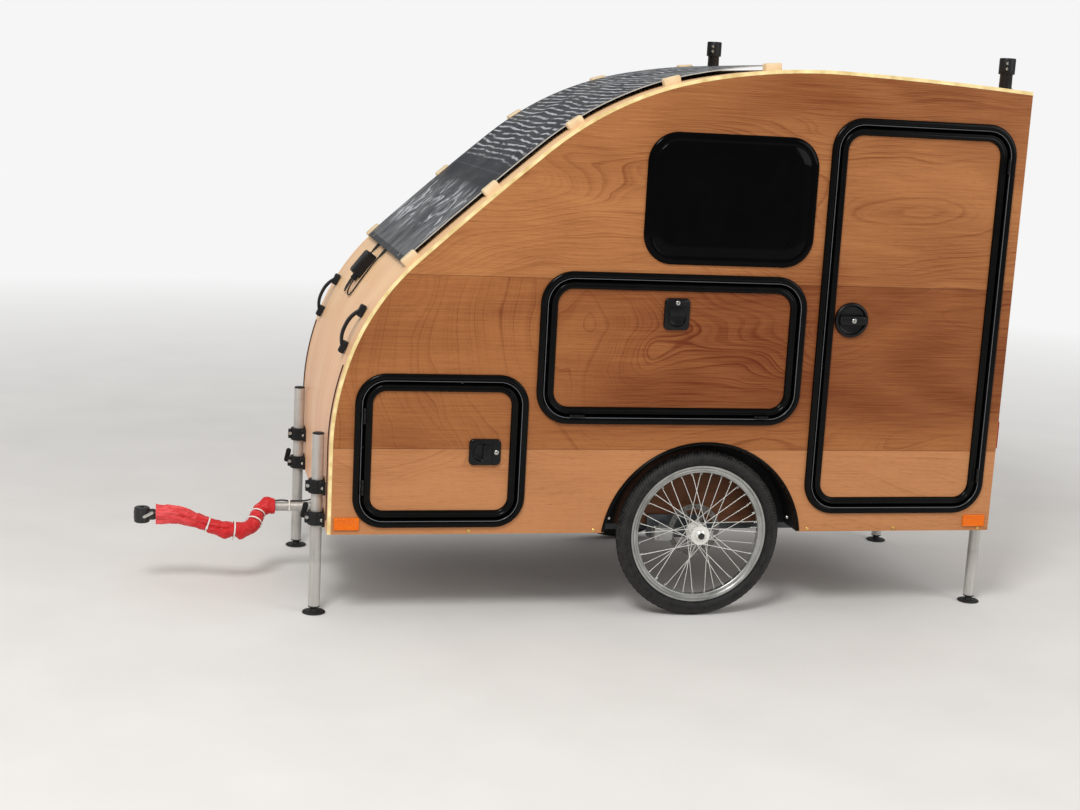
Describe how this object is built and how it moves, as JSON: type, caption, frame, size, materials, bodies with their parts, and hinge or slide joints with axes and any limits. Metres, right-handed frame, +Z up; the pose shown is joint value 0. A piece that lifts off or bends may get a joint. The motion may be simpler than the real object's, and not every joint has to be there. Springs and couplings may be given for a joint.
{
  "type": "teardrop trailer",
  "caption": "Wooden teardrop camper trailer for a bicycle, with side doors, dark windows, spoked wheels, lifting legs, a bent drawbar and a solar panel over the nose.",
  "frame": {"origin": "on the ground under the middle of the whole trailer", "axes": "+Z up, the drawbar points along -X and the rear wall faces +X, the wall with the door and the hatch faces -Y"},
  "size_m": [2.635, 1.002, 1.7224],
  "materials": {
    "ply_side": "satin varnish over reddish brown figured ply",
    "ply_light": "satin varnish over pale birch ply",
    "ply_inner": "satin brown ply",
    "frame_black": "gloss",
    "tinted_pane": "dark tinted acrylic",
    "black_plastic": "fine grain",
    "black_metal": "satin",
    "tube_aluminium": "satin anodised",
    "foot_rubber": "matte",
    "tyre": "matte",
    "rim_silver": "satin",
    "hub_steel": "brushed",
    "wrap_red": "woven",
    "solar_cell": "wavy gloss film",
    "cleat_wood": "satin",
    "cable_black": "semi gloss sheath",
    "amber_lens": "prismatic lens",
    "red_lens": "prismatic lens"
  },
  "bodies": {
    "body": {"arch_liners": "black_plastic", "arch_trims": "frame_black", "axle": "tube_aluminium", "brake_callipers": "rim_silver", "cable_entry": "black_plastic", "cable_far": "cable_black", "cable_near": "cable_black", "chassis": "tube_aluminium", "cleats": "cleat_wood", "coupling": "black_metal", "door_ring": "frame_black", "drawbar": "tube_aluminium", "drawbar_cable": "cable_black", "drawbar_wrap": "wrap_red", "floor_panel": "ply_inner", "front_skin": "ply_light", "grab_handles": "black_plastic", "hatch_ring": "frame_black", "leg_clamps": "black_plastic", "locker_far_ring": "frame_black", "locker_near_ring": "frame_black", "panel_glands": "black_plastic", "pole_sockets": "black_plastic", "rear_lamps": "red_lens", "rear_wall": "ply_side", "roof_skin": "ply_light", "side_reflectors": "amber_lens", "side_wall_far": "ply_side", "side_wall_near": "ply_side", "solar_panel": "solar_cell", "wheel_boxes": "ply_inner", "windows": "tinted_pane"},
    "door": {"door_leaf": "ply_side", "door_rim": "frame_black", "door_latch": "black_plastic"},
    "hatch": {"hatch_leaf": "ply_side", "hatch_rim": "frame_black", "hatch_latch": "black_plastic"},
    "locker_near": {"locker_near_leaf": "ply_side", "locker_near_rim": "frame_black", "locker_near_latch": "black_plastic"},
    "locker_far": {"locker_far_leaf": "ply_side", "locker_far_rim": "frame_black", "locker_far_latch": "black_plastic"},
    "leg_front_near": {"leg_front_near": "tube_aluminium", "foot_front_near": "foot_rubber"},
    "leg_front_far": {"leg_front_far": "tube_aluminium", "foot_front_far": "foot_rubber"},
    "leg_rear_near": {"leg_rear_near": "tube_aluminium", "foot_rear_near": "foot_rubber"},
    "leg_rear_far": {"leg_rear_far": "tube_aluminium", "foot_rear_far": "foot_rubber"},
    "wheel_near": {"tyre_near": "tyre", "rim_near": "rim_silver", "spoked_hub_near": "hub_steel", "brake_disc_near": "hub_steel"},
    "wheel_far": {"tyre_far": "tyre", "rim_far": "rim_silver", "spoked_hub_far": "hub_steel", "brake_disc_far": "hub_steel"}
  },
  "joints": [
    {"name": "door_hinge", "type": "hinge", "parent": "body", "child": "door", "pos_m": [1.201, -0.491, 0.912], "axis": [0, 0, 1], "range_deg": [0, 115]},
    {"name": "hatch_hinge", "type": "hinge", "parent": "body", "child": "hatch", "pos_m": [0.2065, -0.491, 0.6185], "axis": [1, 0, 0], "range_deg": [0, 90]},
    {"name": "locker_near_hinge", "type": "hinge", "parent": "body", "child": "locker_near", "pos_m": [-0.684, -0.491, 0.509], "axis": [0, 0, -1], "range_deg": [0, 110]},
    {"name": "locker_far_hinge", "type": "hinge", "parent": "body", "child": "locker_far", "pos_m": [-0.684, 0.491, 0.509], "axis": [0, 0, 1], "range_deg": [0, 110]},
    {"name": "leg_front_near_slide", "type": "slide", "parent": "body", "child": "leg_front_near", "axis": [0, 0, 1], "range_m": [0, 0.23]},
    {"name": "leg_front_far_slide", "type": "slide", "parent": "body", "child": "leg_front_far", "axis": [0, 0, 1], "range_m": [0, 0.23]},
    {"name": "leg_rear_near_slide", "type": "slide", "parent": "body", "child": "leg_rear_near", "axis": [0, 0, 1], "range_m": [0, 0.23]},
    {"name": "leg_rear_far_slide", "type": "slide", "parent": "body", "child": "leg_rear_far", "axis": [0, 0, 1], "range_m": [0, 0.23]},
    {"name": "wheel_near_spin", "type": "hinge", "parent": "body", "child": "wheel_near", "pos_m": [0.3325, -0.44, 0.253], "axis": [0, 1, 0], "continuous": true},
    {"name": "wheel_far_spin", "type": "hinge", "parent": "body", "child": "wheel_far", "pos_m": [0.3325, 0.44, 0.253], "axis": [0, 1, 0], "continuous": true}
  ]
}
